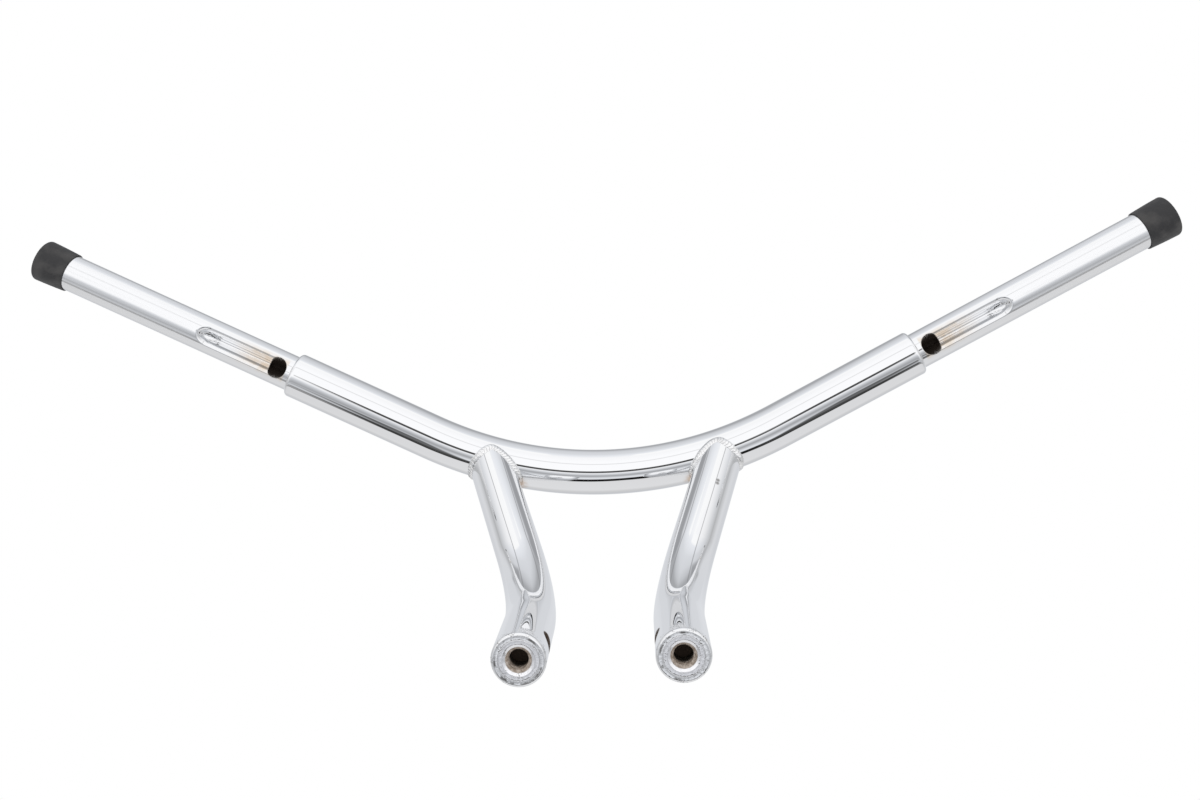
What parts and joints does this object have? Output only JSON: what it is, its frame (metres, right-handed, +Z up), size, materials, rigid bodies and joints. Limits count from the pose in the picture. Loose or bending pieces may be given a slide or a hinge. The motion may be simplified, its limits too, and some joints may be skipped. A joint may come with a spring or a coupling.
{
  "type": "motorcycle handlebar",
  "caption": "Chromed one-piece handlebar with a thick bent centre tube, thinner grip tubes with wiring troughs, and bent pull-back risers with threaded feet.",
  "frame": {"origin": "midway between the two feet, on the plane of the feet", "axes": "+X to the rider's right, +Y forward, +Z up out of the clamp"},
  "size_m": [0.786, 0.2585, 0.2191],
  "materials": {
    "chrome": "bright chrome plate",
    "weld": "rippled bead under thin chrome plate",
    "bung": "turned steel, thinly plated on its face, bare and browned in the thread",
    "cap": "dull black moulded rubber"
  },
  "bodies": {
    "root": {"centre_tube": "chrome", "riser_tubes": "chrome", "riser_welds": "weld", "grip_tubes": "chrome", "threaded_bungs": "bung", "end_caps": "cap"}
  },
  "joints": []
}
